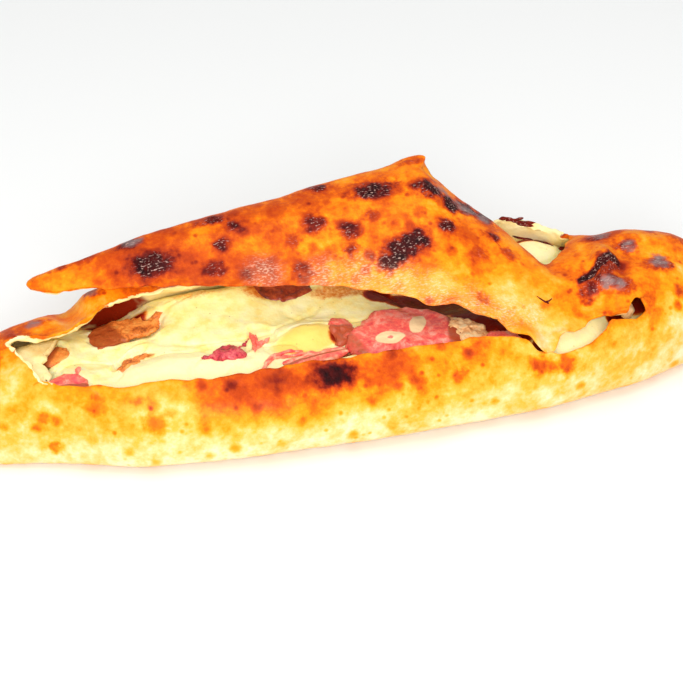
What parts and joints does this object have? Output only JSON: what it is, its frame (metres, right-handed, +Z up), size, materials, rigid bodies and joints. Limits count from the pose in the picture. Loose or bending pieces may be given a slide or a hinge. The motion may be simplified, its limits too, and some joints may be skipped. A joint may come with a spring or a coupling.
{
  "type": "closed pide",
  "caption": "Long boat-shaped closed pide whose baked top crust is torn loose and lifted as a flap over melted cheese and pink cured meat.",
  "frame": {"origin": "on the surface it rests on, under the middle of the loaf's outline", "axes": "+X along the loaf towards the end where the flap is still joined, -Y towards the torn front side, +Z up"},
  "size_m": [0.38, 0.104, 0.0817],
  "materials": {
    "crust": "baked dough, buttered",
    "cheese": "melted, moist",
    "cured_meat": "moist",
    "browned_meat": "dry, browned",
    "crumbly_meat": "dull"
  },
  "bodies": {
    "root": {"crust": "crust", "cheese": "cheese", "meat_slice_large": "cured_meat", "meat_slice_left": "cured_meat", "meat_strip_rim": "cured_meat", "meat_chunk_dark": "cured_meat", "meat_shreds": "cured_meat", "meat_chunk_middle": "cured_meat", "meat_bump_right": "cured_meat", "meat_brown_patch": "browned_meat", "meat_brown_left": "browned_meat", "meat_brown_tear": "browned_meat", "meat_brown_back": "browned_meat", "crumbly_chunk": "crumbly_meat", "meat_bit_hole": "crumbly_meat"}
  },
  "joints": []
}
